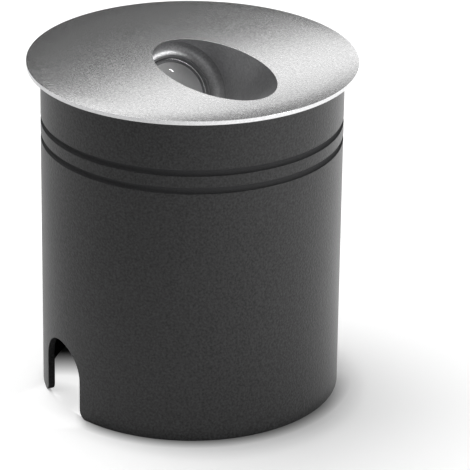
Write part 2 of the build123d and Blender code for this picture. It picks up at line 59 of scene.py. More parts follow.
def add(tree, kind, inputs=None, **settings):
    """Adds a node with its settings, and gives each named input a value or another node's output."""
    made = tree.nodes.new(kind)
    for name, value in settings.items():
        setattr(made, name, value)
    for name, value in (inputs or {}).items():
        if isinstance(value, bpy.types.NodeSocket):
            tree.links.new(value, made.inputs[name])
        else:
            made.inputs[name].default_value = value
    return made


def linear(code):
    """sRGB hex to linear colour: c / 12.92 up to 0.04045, and ((c + 0.055) / 1.055) ** 2.4 above it."""
    c = np.array([int(code[at : at + 2], 16) for at in (1, 3, 5)]) / 255
    return (*np.where(c > 0.04045, ((c + 0.055) / 1.055) ** 2.4, c / 12.92), 1.0)


def new_finish(name):
    """An empty node material: its tree, its Principled shader and the piece's own coordinates."""
    material = bpy.data.materials.new(name)
    material.use_nodes = True
    tree = material.node_tree
    tree.nodes.clear()
    shader = add(tree, "ShaderNodeBsdfPrincipled")
    add(tree, "ShaderNodeOutputMaterial", {"Surface": shader.outputs["BSDF"]})
    return material, tree, shader, add(tree, "ShaderNodeTexCoord").outputs["Object"]


def skin(name, grids, finishes, bevel=None, pick=None, sharp=30):
    """Joins grids of points (rows, columns, 3) in millimetres into one closed mesh in metres. Neighbouring
    points make a quad, points that fall together are merged, and a quad with a merged side is a triangle."""
    points = np.concatenate([grid.reshape(-1, 3) for grid in grids])
    starts = np.cumsum([0] + [grid.shape[0] * grid.shape[1] for grid in grids])
    quads, finish_of = [], []
    for number, (grid, start) in enumerate(zip(grids, starts)):
        ids = start + np.arange(grid.shape[0] * grid.shape[1]).reshape(grid.shape[:2])
        quads.append(np.stack([ids[:-1, :-1], ids[:-1, 1:], ids[1:, 1:], ids[1:, :-1]], -1).reshape(-1, 4))
        finish_of.append(np.full(len(quads[-1]), pick[number] if pick else 0))
    points, merged = np.unique(np.round(points, 4), axis=0, return_inverse=True)
    quads = merged.ravel()[np.concatenate(quads)]
    finish_of = np.concatenate(finish_of)
    folded = (quads[:, 0] == quads[:, 1]) | (quads[:, 2] == quads[:, 3])
    corners = np.where((quads[:, 0] == quads[:, 1])[:, None], quads[:, [0, 2, 3]], quads[:, [0, 1, 2]])
    mesh = bpy.data.meshes.new(name)
    mesh.from_pydata(points / 1000, [], quads[~folded].tolist() + corners[folded].tolist())
    mesh.polygons.foreach_set("material_index", np.concatenate([finish_of[~folded], finish_of[folded]]))
    for finish in finishes:
        mesh.materials.append(finish)
    shell = bmesh.new()
    shell.from_mesh(mesh)
    bmesh.ops.recalc_face_normals(shell, faces=shell.faces)
    shell.to_mesh(mesh)
    shell.free()
    mesh.shade_smooth()
    mesh.set_sharp_from_angle(angle=np.radians(sharp))
    piece = bpy.data.objects.new(name, mesh)
    bpy.context.scene.collection.objects.link(piece)
    if bevel:
        edge = piece.modifiers.new("edge_break", "BEVEL")
        edge.width = bevel / 1000
        edge.segments = 2
        edge.limit_method = "ANGLE"
        edge.angle_limit = np.radians(sharp)
        edge.harden_normals = True
    return piece


def tube_point(angle, radius, height):
    """Points on an upright tube: (r sin a, -r cos a, z), with the angle counted from the notch at -Y."""
    angle, radius, height = np.broadcast_arrays(angle, radius, height)
    return np.stack([radius * np.sin(angle), -radius * np.cos(angle), height], -1)


def notch_edge(run):
    """The notch's outline by its length, from the left foot to the right one: a corner c (1 - sin t, 1 - cos t),
    an upright side and an arch h (cos u, sin u), then the same back down."""
    left = np.minimum(run, 2 * notch_rise - run)
    turn = np.clip(left / notch_corner, 0, np.pi / 2)
    upright = np.clip(left - notch_corner * np.pi / 2, 0, notch_spring - notch_corner)
    arch = np.clip((left - notch_rise) / notch_half + np.pi / 2, 0, np.pi / 2)
    across = notch_half * np.cos(arch) + notch_corner * (1 - np.sin(turn))
    height = notch_corner * (1 - np.cos(turn)) + upright + notch_half * np.sin(arch)
    return np.sign(run - notch_rise) * across, height


notch_rise = (notch_corner + notch_half) * np.pi / 2 + notch_spring - notch_corner
over_notch = np.linspace(-notch_frame_angle, notch_frame_angle, arch_steps)
round_back = np.linspace(notch_frame_angle, 2 * np.pi - notch_frame_angle, back_steps)
shoulder = notch_rise - notch_half * np.pi / 4
side = np.linspace(0, shoulder, side_steps)
crown = np.linspace(shoulder, 2 * notch_rise - shoulder, arch_steps)
notch_x, notch_z = notch_edge(np.concatenate([side, crown[1:], 2 * notch_rise - side[-2::-1]]))
frame_side = np.full(side_steps, notch_frame_angle)
frame_angle = np.concatenate([-frame_side, over_notch[1:], frame_side[1:]])
frame_rise = np.linspace(0, notch_frame_top, side_steps)
frame_z = np.concatenate([frame_rise, np.full(arch_steps - 1, notch_frame_top), frame_rise[-2::-1]])
share = np.linspace(0, 1, frame_steps)[:, None]
around_notch = {
    radius: tube_point(
        (1 - share) * np.arcsin(notch_x / radius) + share * frame_angle,
        radius,
        (1 - share) * notch_z + share * frame_z,
    )
    for radius in (sleeve_radius, sleeve_bore)
}
low_back = {
    radius: tube_point(round_back, radius, np.array([[0.0], [notch_frame_top]]))
    for radius in (sleeve_radius, sleeve_bore)
}
half_round = np.linspace(-np.pi / 2, np.pi / 2, groove_steps)
low_groove, high_groove = (
    np.stack([sleeve_radius - groove_radius * np.cos(half_round), height + groove_radius * np.sin(half_round)], -1)
    for height in groove_heights
)
mouth = [
    high_groove[-1],
    (sleeve_radius, sleeve_top),
    (sleeve_bore + sleeve_lead_in, sleeve_top),
    (sleeve_bore, sleeve_top - sleeve_lead_in),
    (sleeve_bore, notch_frame_top),
]
all_round = np.concatenate([over_notch, round_back[1:]])
body, low_groove, belt, high_groove, mouth = (
    tube_point(all_round, np.array(profile)[:, :1], np.array(profile)[:, 1:])
    for profile in (
        [(sleeve_radius, notch_frame_top), low_groove[0]],
        low_groove,
        [low_groove[-1], high_groove[0]],
        high_groove,
        mouth,
    )
)
foot = [np.stack([around_notch[sleeve_radius][:, at], around_notch[sleeve_bore][:, at]]) for at in (0, -1)]
foot.append(np.stack([low_back[sleeve_radius][0], low_back[sleeve_bore][0]]))
notch_face = np.stack([around_notch[sleeve_radius][0], around_notch[sleeve_bore][0]])

# Powder coat: a baked polyester skin. It is nearly black with a satin face, so the bright card shows only
# towards the edges of the tube. The grain is drawn 0.6 mm across, coarser than the real 0.1 mm, so that it
# shows, and a slow cloud of 18 mm moves the gloss.
coat_grain = 0.6
coat_pore = 0.15
coat_cloud = 18.0
powder_coat, tree, shader, place = new_finish("dark_grey_powder_coat")
grain = add(tree, "ShaderNodeTexNoise", {"Vector": place, "Scale": 1000 / coat_grain, "Detail": 2.0})
cloud = add(tree, "ShaderNodeTexNoise", {"Vector": place, "Scale": 1000 / coat_cloud, "Detail": 3.0})
speck = add(tree, "ShaderNodeMapRange", {"Value": grain.outputs["Fac"], "From Min": 0.3, "From Max": 0.7})
tint = add(tree, "ShaderNodeMix",
           {"Factor": speck.outputs["Result"], "A": linear("#000000"), "B": linear("#2C2C2D")}, data_type="RGBA")
tree.links.new(tint.outputs["Result"], shader.inputs["Base Color"])
gloss = add(tree, "ShaderNodeMapRange", {"Value": cloud.outputs["Fac"], "To Min": 0.36, "To Max": 0.42})
tree.links.new(gloss.outputs["Result"], shader.inputs["Roughness"])
pores = add(tree, "ShaderNodeBump",
            {"Height": grain.outputs["Fac"], "Strength": 0.6, "Distance": coat_pore / 1000})
tree.links.new(pores.outputs["Normal"], shader.inputs["Normal"])
shader.inputs["Specular IOR Level"].default_value = 0.36


def grained(name, low, high, grain, rough, depth, **sockets):
    """A finish with an irregular grain: noise of the grain's size in millimetres runs between two colours and
    between two roughnesses, and lifts the surface by up to the depth in millimetres."""
    finish, tree, shader, place = new_finish(name)
    speck = add(tree, "ShaderNodeTexNoise",
                {"Vector": place, "Scale": 1000 / grain, "Detail": 3.0, "Roughness": 0.8})
    tint = add(tree, "ShaderNodeMix",
               {"Factor": speck.outputs["Fac"], "A": linear(low), "B": linear(high)}, data_type="RGBA")
    gloss = add(tree, "ShaderNodeMapRange",
                {"Value": speck.outputs["Fac"], "To Min": rough[0], "To Max": rough[1]})
    relief = add(tree, "ShaderNodeBump",
                 {"Height": speck.outputs["Fac"], "Strength": 0.4, "Distance": depth / 1000})
    tree.links.new(tint.outputs["Result"], shader.inputs["Base Color"])
    tree.links.new(gloss.outputs["Result"], shader.inputs["Roughness"])
    tree.links.new(relief.outputs["Normal"], shader.inputs["Normal"])
    for socket, value in sockets.items():
        shader.inputs[socket.replace("_", " ")].default_value = value
    return finish


# The same coat in the grooves, where the powder gathers and bakes out matt.
groove_coat = grained("matt_powder_coat", "#2C2C2D", "#464647", 0.6, (0.7, 0.85), 0.02, Specular_IOR_Level=0.12)

plain = [body, belt, mouth, *around_notch.values(), *low_back.values(), *foot, notch_face]
grooves = [low_groove, high_groove]
sleeve = skin(
    "coated_sleeve",
    plain + grooves,
    [powder_coat, groove_coat],
    bevel=0.2,
    pick=[0] * len(plain) + [1] * len(grooves),
)
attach(sleeve, "sleeve")
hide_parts("mounting_sleeve")

# Grip rings. Two moulded rubber cords in grooves of the lamp, which press on the sleeve's bore and hold
# the lamp by friction alone, so that it can be pulled out or turned by hand.
ring_radius = 37.9
ring_section = 1.3
ring_heights = {"upper_grip_ring": 89.0, "lower_grip_ring": 37.0}
ring_steps, section_steps = 193, 25


def turned(profile, count):
    """A profile of (radius, height) points carried round the Z axis: (r cos a, r sin a, z)."""
    angle = np.linspace(0, 2 * np.pi, count)
    radius, height = np.asarray(profile, float).T[:, :, None]
    return np.stack([radius * np.cos(angle), radius * np.sin(angle), height + 0 * angle], -1)


# Moulded rubber: matt black with a faint bloom and a 0.5 mm orange peel from the mould.
black_rubber = grained("moulded_black_rubber", "#0E0E0F", "#1F1F20", 0.5, (0.5, 0.68), 0.02)

round_section = np.linspace(0, 2 * np.pi, section_steps)
for node, height in ring_heights.items():
    section = (ring_radius + ring_section * np.cos(round_section), height + ring_section * np.sin(round_section))
    ring = skin(node + "_rubber", [turned(np.transpose(section), ring_steps)], [black_rubber], sharp=60)
    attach(ring, "grip_rings")
    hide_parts(node)

# Lamp head. One turning of aluminium: a thin rim, a face with a very slight dome that rolls down at its edge,
# a skirt that carries the upper grip ring, and an oblique bore, milled and blasted, that ends in a rounded seat
# for the lens.
rim_radius = 45.0
rim_break = 0.1
edge_roll = 0.085
roll_width = 6.0
rim_top = 95.0
crown_top = 96.1
flange_under = 93.75
register_radius = 41.45
spigot_radius = 38.85
ring_floor = 36.55
ring_groove = (87.5, 90.5)
skirt_radius = 34.55
skirt_end = 82.0
ceiling = 91.0
beam_tilt = np.radians(56)
beam_out = np.array([np.sin(beam_tilt), 0, np.cos(beam_tilt)])
beam_down = np.array([np.cos(beam_tilt), 0, -np.sin(beam_tilt)])
beam_level = np.array([0, 1, 0])
beam_offset = 10.35
beam_start = np.array([beam_offset, 0, rim_top])
scoop_radius = 13.5
seat_under_rim = 1.7
seat = -(seat_under_rim + scoop_radius * np.sin(beam_tilt)) / np.cos(beam_tilt)
seat_round = 2.9
seat_wall = 0.8
land = seat - seat_wall
lens_hole = 10.5
lens_pocket = 12.6
pocket_length = 17.0
shell_radius = 15.5
tail = land - pocket_length
head_steps, bend_steps = 241, 15
face_rows, face_crowding = 37, 1.15


def beam_ring(profile):
    """A profile of (distance along the beam, radius) points carried round the beam:
    o + s d + r (cos a f + sin a y), where d points out along the beam, f forwards and down across it, and y is
    level."""
    angle = np.linspace(0, 2 * np.pi, head_steps)[:, None]
    across = np.cos(angle) * beam_down + np.sin(angle) * beam_level
    along, radius = np.asarray(profile, float).T[:, :, None, None]
    return beam_start + along * beam_out + radius * across


dome_sag, dome_half = crown_top - rim_top, rim_radius - rim_break
dome_ball = (dome_half**2 + dome_sag**2) / (2 * dome_sag)


def meet_dome(ring):
    """Points of a ring moved along the beam to the face's dome, a sphere: the far root of |p + s d - c| = R."""
    from_centre = ring - np.array([0, 0, crown_top - dome_ball])
    along = from_centre @ beam_out
    reach = -along + np.sqrt(along**2 - (from_centre**2).sum(-1) + dome_ball**2)
    return ring + reach[..., None] * beam_out


def dome_height(x, y):
    """Height of the face over a point of its plan: a sphere through the rim with its top at the crown."""
    return crown_top - dome_ball + np.sqrt(dome_ball**2 - x**2 - y**2)


bend = np.linspace(0, np.pi / 2, bend_steps)
scoop_profile = [(land, lens_pocket), (land, lens_hole), (seat, lens_hole)]
scoop_profile += zip(seat + seat_round * (1 - np.cos(bend)), scoop_radius - seat_round * (1 - np.sin(bend)))
scoop = beam_ring(scoop_profile)
scoop_lip = meet_dome(beam_ring([(0, scoop_radius)])[0])
bore_wall = np.stack([scoop[-1], (scoop[-1] + scoop_lip) / 2, scoop_lip])
spread = (np.linspace(0, 1, face_rows) ** face_crowding)[:, None, None]
face = (1 - spread) * scoop_lip + spread * turned([(rim_radius, 0)], head_steps)[0]
rolled = np.clip((np.hypot(face[..., 0], face[..., 1]) - rim_radius) / roll_width + 1, 0, 1)
face[..., 2] = dome_height(face[..., 0], face[..., 1]) - edge_roll * rolled**2
rim = turned([(rim_radius, face[-1, 0, 2]), (rim_radius, flange_under)], head_steps)
skirt = turned(
    [
        (rim_radius, flange_under),
        (register_radius, flange_under),
        (register_radius, sleeve_top),
        (spigot_radius, sleeve_top),
        (spigot_radius, ring_groove[1]),
        (ring_floor, ring_groove[1]),
        (ring_floor, ring_groove[0]),
        (spigot_radius, ring_groove[0]),
        (spigot_radius, skirt_end),
        (skirt_radius, skirt_end),
        (skirt_radius, ceiling),
    ],
    head_steps,
)
shell_top = beam_ring([(0, shell_radius)])[0]
shell_top = shell_top + ((ceiling - shell_top[:, 2]) / beam_out[2])[:, None] * beam_out
shell = beam_ring([(tail, shell_radius), (tail, lens_pocket), (land, lens_pocket)])
back = np.concatenate([skirt[-1:], shell_top[None], shell])

# Turned aluminium, blasted with fine beads: a silky mirror of the room with a grain, drawn 0.6 mm across,
# coarser than the real 0.1 mm, so that it shows.
turned_metal = grained("blasted_turned_aluminium", "#707071", "#FFFFFF", 0.6, (0.15, 0.24), 0.0015, Metallic=1.0)

# Fine-turned aluminium of the rim's edge: a smoother cut than the face, with less contrast in its grain, which
# mirrors the white card as a bright line. The grain is drawn 0.6 mm across, like the face's.
rim_metal = grained("fine_turned_aluminium", "#AEAEAF", "#E6E6E7", 0.6, (0.12, 0.2), 0.004, Metallic=1.0)

# Blasted aluminium of the bore: the same metal with a pitted surface. The pits are drawn 0.8 mm across, coarser
# than the real ones, so that they show.
bore_metal = grained("blasted_aluminium", "#8E8E8F", "#F0F0F1", 0.8, (0.24, 0.46), 0.1, Metallic=1.0)

# Blasted aluminium of the rounded seat: the beads strike it head on near the wall and graze it near the lens, so
# its roughness falls from the wall to the lens and it glints only there. Its pits are drawn 0.6 mm across.
graze_band = (0.25, 1.2)
extra_rough = 0.4
seat_metal = grained("seat_blasted_aluminium", "#686869", "#E2E2E3", 0.6, (0.24, 0.44), 0.16, Metallic=1.0)
tree = seat_metal.node_tree
place = add(tree, "ShaderNodeTexCoord").outputs["Object"]
along_beam = add(tree, "ShaderNodeVectorMath", {0: place, 1: tuple(beam_out)}, operation="DOT_PRODUCT")
seat_along = beam_start @ beam_out + seat
blasted = add(tree, "ShaderNodeMapRange",
              {"Value": along_beam.outputs["Value"], "From Min": (seat_along + graze_band[0]) / 1000,
               "From Max": (seat_along + graze_band[1]) / 1000, "To Min": 0.0, "To Max": extra_rough})
rough = tree.nodes["Principled BSDF"].inputs["Roughness"]
rougher = add(tree, "ShaderNodeMath",
              {0: rough.links[0].from_socket, 1: blasted.outputs["Result"]}, operation="ADD")
tree.links.new(rougher.outputs["Value"], rough)

head = skin(
    "turned_head",
    [face, rim, skirt, back, scoop, bore_wall],
    [turned_metal, rim_metal, bore_metal, seat_metal],
    bevel=0.07,
    pick=[0, 1, 0, 2, 3, 2],
)
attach(head, "lamp")
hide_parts("lamp_head")

# Lens gasket, bezel and lens. The moulded silicone gasket lines the lens hole, a turned steel ring sits inside
# its lip, and the pressed glass lens is clamped behind both, with its domed middle standing in them.
gasket_flange = 1.2
lens_plane = land - gasket_flange
gasket_bore = 10.0
gasket_collar = 10.45
lens_edge = 12.5
bezel_section = (9.6, 9.95)
bezel_height = 0.6
lens_boss = 9.55
lens_step = 0.5
lens_crown = 0.6
lens_steps, border_steps = 17, 5
border_width = 0.8
lens_flange = 1.8
lens_back = lens_plane - lens_flange

gasket_profile = [
    (seat, gasket_bore),
    (seat, gasket_collar),
    (land, gasket_collar),
    (land, lens_edge),
    (lens_plane, lens_edge),
    (lens_plane, gasket_bore),
    (seat, gasket_bore),
]
# Silicone rubber: grey with its fillers, with the same matt 0.5 mm orange peel as the grip rings.
silicone = grained("grey_silicone", "#7E7E7F", "#9C9C9D", 0.5, (0.5, 0.68), 0.02)
gasket = skin("lens_gasket_rubber", [beam_ring(gasket_profile)], [silicone], bevel=0.08)
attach(gasket, "lamp")
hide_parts("lens_gasket")

# Turned stainless steel with a painted highlight: two opposite fans of painted sheen lighten its colour and it is
# darker between them, as a ring with its tool's marks running round it would shine. The fans lie between two shares
# of its radius, over a grain of 0.2 mm.
sheen_fan_turn = np.radians(115)
sheen_fan_band = (0.45, 0.8)
painted_sheen_ring = grained("turned_steel_painted_sheen", "#5E5E5F", "#FFFFFF", 0.2, (0.2, 0.32), 0.004, Metallic=1.0)
tree = painted_sheen_ring.node_tree
place = add(tree, "ShaderNodeTexCoord").outputs["Object"]
fan = np.cos(sheen_fan_turn) * beam_down + np.sin(sheen_fan_turn) * beam_level
ring_middle = fan @ (beam_start + lens_plane * beam_out)
across_fan = add(tree, "ShaderNodeVectorMath", {0: place, 1: tuple(fan)}, operation="DOT_PRODUCT")
from_middle = add(tree, "ShaderNodeMath",
                  {0: across_fan.outputs["Value"], 1: ring_middle / 1000}, operation="SUBTRACT")
from_middle = add(tree, "ShaderNodeMath", {0: from_middle.outputs["Value"]}, operation="ABSOLUTE")
painted_sheen_fan = add(tree, "ShaderNodeMapRange",
             {"Value": from_middle.outputs["Value"], "From Min": sheen_fan_band[0] * bezel_section[0] / 1000,
              "From Max": sheen_fan_band[1] * bezel_section[0] / 1000})
# The painted sheen of the fans sets the mix of the two colours.
tint = tree.nodes["Principled BSDF"].inputs["Base Color"].links[0].from_node
tree.links.new(painted_sheen_fan.outputs["Result"], tint.inputs["Factor"])

bezel_profile = [
    (lens_plane, bezel_section[0]),
    (lens_plane + bezel_height, bezel_section[0]),
    (lens_plane + bezel_height, bezel_section[1]),
    (lens_plane, bezel_section[1]),
    (lens_plane, bezel_section[0]),
]
bezel = skin("lens_bezel_ring", [beam_ring(bezel_profile)], [painted_sheen_ring], bevel=0.17)
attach(bezel, "lamp")
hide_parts("lens_bezel")

# Satin glass: pressed, with a frosted body that scatters the light and a fire-polished front that mirrors it.
# The frosting is drawn 0.6 mm across.
lens_glass = grained("satin_pressed_glass", "#DCDCDC", "#F6F6F6", 0.6, (0.35, 0.5), 0.004,
                     Transmission_Weight=0.25, IOR=1.5, Coat_Weight=1.0, Coat_Roughness=0.03)
# Grey enamel: a border fired on the edge of the glass that hides the clamped rim.
lens_border = grained("grey_enamel", "#88888A", "#9C9C9E", 0.3, (0.2, 0.35), 0.002)

lens_out = np.linspace(0, lens_boss - border_width, lens_steps)
border_out = np.linspace(lens_boss - border_width, lens_boss, border_steps)
crown_ball = (lens_boss**2 + lens_crown**2) / (2 * lens_crown)
crown_centre = lens_plane + lens_step + lens_crown - crown_ball
lens_front = list(zip(crown_centre + np.sqrt(crown_ball**2 - lens_out**2), lens_out))
border = list(zip(crown_centre + np.sqrt(crown_ball**2 - border_out**2), border_out))
border += [(lens_plane, lens_boss), (lens_plane, lens_edge)]
lens_rear = [(lens_plane, lens_edge), (lens_back, lens_edge), (lens_back, 0)]
lens = skin(
    "front_lens_glass",
    [beam_ring(lens_front), beam_ring(border), beam_ring(lens_rear)],
    [lens_glass, lens_border],
    bevel=0.08,
    pick=[0, 1, 0],
)
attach(lens, "lamp")
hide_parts("front_lens")


# Light engine. Behind the lens a moulded acrylic collimator sits in a black cup on the light source's board,
# with a soft heat pad between the board and the aluminium plug that is screwed into the bore's tail.
def dress(finish, *nodes):
    """Gives a finish to carried-over CAD nodes."""
    for node in nodes:
        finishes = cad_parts[node].data.materials
        finishes.clear()
        finishes.append(finish)


# Acrylic: water clear, with a faint 2 mm waviness from the mould.
dress(grained("clear_acrylic", "#F4F6F7", "#FFFFFF", 2.0, (0.02, 0.06), 0.004,
              Transmission_Weight=1.0, IOR=1.49), "collimator")
# Black polycarbonate: moulded, with a fine spark-eroded grain of 0.15 mm.
dress(grained("black_polycarbonate", "#0C0C0D", "#18181A", 0.15, (0.4, 0.55), 0.006), "collimator_holder")
# Alumina: the fired white ceramic of the light source's package.
dress(grained("white_alumina", "#DCDBD6", "#EFEEEA", 0.1, (0.45, 0.6), 0.002), "led_package")
# Silicone over phosphor: a clear dome with the yellow powder showing through.
dress(grained("phosphor_silicone", "#E6B93C", "#F5D774", 0.08, (0.08, 0.16), 0.001,
              Transmission_Weight=0.3, IOR=1.41), "led_dome")
# White solder mask: a smooth lacquer on the metal-cored board.
dress(grained("white_solder_mask", "#E2E2DE", "#EDEDEA", 0.3, (0.25, 0.4), 0.003), "led_board")
# Gap pad: soft silicone filled with grey ceramic powder, 0.2 mm specks.
dress(grained("grey_gap_pad", "#6E757C", "#8F979E", 0.2, (0.7, 0.85), 0.01), "thermal_pad")
# Machined aluminium: bright, with 0.25 mm tool marks.
dress(grained("machined_aluminium", "#AFAFB0", "#D2D2D3", 0.25, (0.22, 0.34), 0.006, Metallic=1.0),
      "heat_sink_plug")

# Rear housing. A cast aluminium cup, coated like the sleeve, closes the lamp from below. A flat rubber gasket
# seals it, and three steel screws with rubber washers pull it up to the head.
# Coated casting: a thicker coat over cast skin, so the orange peel is 0.9 mm across and the gloss is lower.
dress(grained("coated_aluminium_casting", "#1E1F20", "#2C2D2E", 0.9, (0.4, 0.52), 0.03), "driver_can")
dress(black_rubber, "can_gasket", "screw_seals", "gland_ring", "gland_seal")
# Zinc-plated steel: bluish and bright, with 0.3 mm blotches of the passivation.
dress(grained("zinc_plated_steel", "#A4A8AC", "#C6C9CC", 0.3, (0.24, 0.38), 0.004, Metallic=1.0),
      "can_screws", "board_screws", "terminal_screws")

# Driver board. A round glass-fibre board on three standoffs, with its parts soldered on: a transformer, two
# electrolytic capacitors, a film capacitor, a choke, a rectifier, a chip, a fuse resistor and a terminal block.
# Solder mask: green lacquer over copper tracks 0.3 mm wide, which show as paler lines 1.5 mm apart, on a glass
# weave of 0.4 mm that moves the gloss.
track_pitch = 1.5
track_length = 4.0
track_half = 0.15
track_lift = 0.04
glass_weave = 0.4
green_mask, tree, shader, place = new_finish("green_solder_mask")
tracks = add(tree, "ShaderNodeTexBrick",
             {"Vector": place, "Color1": linear("#0E4A26"), "Color2": linear("#115430"),
              "Mortar": linear("#2C7A4C"), "Scale": 1000.0, "Mortar Size": track_half,
              "Brick Width": track_length, "Row Height": track_pitch})
tree.links.new(tracks.outputs["Color"], shader.inputs["Base Color"])
weave = add(tree, "ShaderNodeTexNoise", {"Vector": place, "Scale": 1000 / glass_weave, "Detail": 2.0})
gloss = add(tree, "ShaderNodeMapRange", {"Value": weave.outputs["Fac"], "To Min": 0.22, "To Max": 0.36})
tree.links.new(gloss.outputs["Result"], shader.inputs["Roughness"])
edges = add(tree, "ShaderNodeBump",
            {"Height": tracks.outputs["Fac"], "Strength": 0.4, "Distance": track_lift / 1000})
tree.links.new(edges.outputs["Normal"], shader.inputs["Normal"])
dress(green_mask, "driver_board")
# Ferrite: a dark sintered ceramic with 0.2 mm pores.
dress(grained("sintered_ferrite", "#1A1A1B", "#333335", 0.2, (0.5, 0.7), 0.01),
      "transformer_core", "filter_choke")
# Polyester tape: glossy yellow, lapped round the winding every 4 mm. A wave node turns 20 radians in its unit.
wave_turn = 20
tape_lap = 4.0
yellow_tape, tree, shader, place = new_finish("yellow_polyester_tape")
laps = add(tree, "ShaderNodeTexWave",
           {"Vector": place, "Scale": 2000 * np.pi / (wave_turn * tape_lap), "Distortion": 0.4},
           bands_direction="Y", wave_profile="SAW")
tint = add(tree, "ShaderNodeMix",
           {"Factor": laps.outputs["Fac"], "A": linear("#C79A12"), "B": linear("#EFC53A")}, data_type="RGBA")
tree.links.new(tint.outputs["Result"], shader.inputs["Base Color"])
gloss = add(tree, "ShaderNodeMapRange", {"Value": laps.outputs["Fac"], "To Min": 0.18, "To Max": 0.3})
tree.links.new(gloss.outputs["Result"], shader.inputs["Roughness"])
dress(yellow_tape, "transformer_winding")
# Shrink sleeve: dark blue film with 0.8 mm shrink wrinkles, open over the bare aluminium top of each capacitor.
film_wrinkle = 0.8
facing_up = 0.9
shrink_film, tree, shader, place = new_finish("capacitor_shrink_sleeve")
up = add(tree, "ShaderNodeSeparateXYZ", {"Vector": add(tree, "ShaderNodeNewGeometry").outputs["Normal"]})
top = add(tree, "ShaderNodeMath", {0: up.outputs["Z"], 1: facing_up}, operation="GREATER_THAN")
wrinkle = add(tree, "ShaderNodeTexNoise", {"Vector": place, "Scale": 1000 / film_wrinkle, "Detail": 2.0})
film = add(tree, "ShaderNodeMix",
           {"Factor": wrinkle.outputs["Fac"], "A": linear("#10142A"), "B": linear("#1B2240")}, data_type="RGBA")
tint = add(tree, "ShaderNodeMix",
           {"Factor": top.outputs["Value"], "A": film.outputs["Result"], "B": linear("#BCBCBD")}, data_type="RGBA")
tree.links.new(tint.outputs["Result"], shader.inputs["Base Color"])
tree.links.new(top.outputs["Value"], shader.inputs["Metallic"])
gloss = add(tree, "ShaderNodeMapRange", {"Value": wrinkle.outputs["Fac"], "To Min": 0.2, "To Max": 0.34})
tree.links.new(gloss.outputs["Result"], shader.inputs["Roughness"])
dress(shrink_film, "input_capacitor", "output_capacitor")
# Moulded epoxy, in yellow for the film capacitor and in black for the rectifier and the chip.
dress(grained("yellow_moulded_epoxy", "#B8860E", "#DBA928", 0.3, (0.35, 0.5), 0.006), "film_capacitor")
dress(grained("black_moulded_epoxy", "#0B0B0C", "#1A1A1B", 0.12, (0.5, 0.65), 0.005),
      "rectifier", "driver_chip")
# Lacquer: smooth blue, with darker rings every 2 mm round the resistor.
ring_pitch = 2.0
blue_lacquer, tree, shader, place = new_finish("blue_resistor_lacquer")
rings = add(tree, "ShaderNodeTexWave",
            {"Vector": place, "Scale": 2000 * np.pi / (wave_turn * ring_pitch), "Distortion": 0.0},
            bands_direction="X", wave_profile="SIN")
band = add(tree, "ShaderNodeMapRange", {"Value": rings.outputs["Fac"], "From Min": 0.8, "From Max": 0.86})
tint = add(tree, "ShaderNodeMix",
           {"Factor": band.outputs["Result"], "A": linear("#5B83A6"), "B": linear("#20262C")}, data_type="RGBA")
tree.links.new(tint.outputs["Result"], shader.inputs["Base Color"])
shader.inputs["Roughness"].default_value = 0.2
dress(blue_lacquer, "fuse_resistor")
# Polyamide: matt grey, with a 0.2 mm grain.
dress(grained("grey_polyamide", "#55585A", "#6E7173", 0.2, (0.45, 0.6), 0.008), "terminal_block")

# Leads and gland. Two stranded wires in soft insulation run from the board through the plug to the light
# source. The gland's body is screwed into the housing's base, and its nut squeezes the rubber seal on the cable.
# Soft insulation: red and black, with faint 1.2 mm extrusion ripples.
dress(grained("red_wire_insulation", "#A01414", "#BE2222", 1.2, (0.3, 0.42), 0.006), "red_led_lead")
dress(grained("black_wire_insulation", "#0D0D0E", "#1C1C1D", 1.2, (0.3, 0.42), 0.006), "black_led_lead")
# Nylon: dark grey, moulded, with a 0.25 mm grain.
dress(grained("dark_grey_nylon", "#1C1C1D", "#2D2D2F", 0.25, (0.42, 0.55), 0.01), "gland_body", "gland_nut")

# Floor. A sheet of white card that the light stands on. The camera sees it topped up to white away from the foot,
# with painted light in front of the notch and, inside the tube, near the notch. Metal and glass see it topped up
# outside the tube, with a painted reflection brighter towards the right. A painted contact shadow darkens the card
# under the front of the foot.
camera_azimuth = np.radians(59.75)
right = np.array([np.cos(camera_azimuth), np.sin(camera_azimuth), 0])
away = np.array([-np.sin(camera_azimuth), np.cos(camera_azimuth), 0])
upward = np.array([0, 0, 1.0])
card_half = 4000
card_fibre = 2.0
# Reaches in millimetres, and strengths, of the painted light inside the tube and in front of the notch, of the
# top-up near the foot, of the painted reflection and of the painted contact shadow.
spill_reach, spill_fall = (18.5, 34.5), 1.7
sill_reach, sill_glow, sill_squeeze = (1.0, 12.0), (0.32, 0.87), 0.7
shaded_way, shaded_shift = np.radians(155), 7.0
clear_reach, clear_glow = (35.0, 47.0), 0.25
porch_reach, porch_glow = (12.0, 20.0), 0.34
mirror_reach, mirror_glow = 125.0, 0.62
contact_reach, contact_shadow_depth = (0.3, 4.3), 0.6
contact_left = (-31.5, -28.0)
contact_back = (-20.0, 2.0)

card, tree, shader, place = new_finish("white_card")
fibre = add(tree, "ShaderNodeTexNoise", {"Vector": place, "Scale": 1000 / card_fibre, "Detail": 2.0})
tint = add(tree, "ShaderNodeMix",
           {"Factor": fibre.outputs["Fac"], "A": linear("#ECECEC"), "B": linear("#EFEFEF")}, data_type="RGBA")
shader.inputs["Roughness"].default_value = 0.9
shader.inputs["Specular IOR Level"].default_value = 0.1
shader.inputs["Emission Color"].default_value = linear("#FFFFFF")
rays = add(tree, "ShaderNodeLightPath")
from_axis = add(tree, "ShaderNodeVectorMath", {0: place}, operation="LENGTH")
to_right = add(tree, "ShaderNodeVectorMath", {0: place, 1: tuple(right)}, operation="DOT_PRODUCT")
to_back = add(tree, "ShaderNodeVectorMath", {0: place, 1: tuple(away)}, operation="DOT_PRODUCT")
within = add(tree, "ShaderNodeMath",
             {0: from_axis.outputs["Value"], 1: (sleeve_bore + sleeve_radius) / 2000}, operation="LESS_THAN")
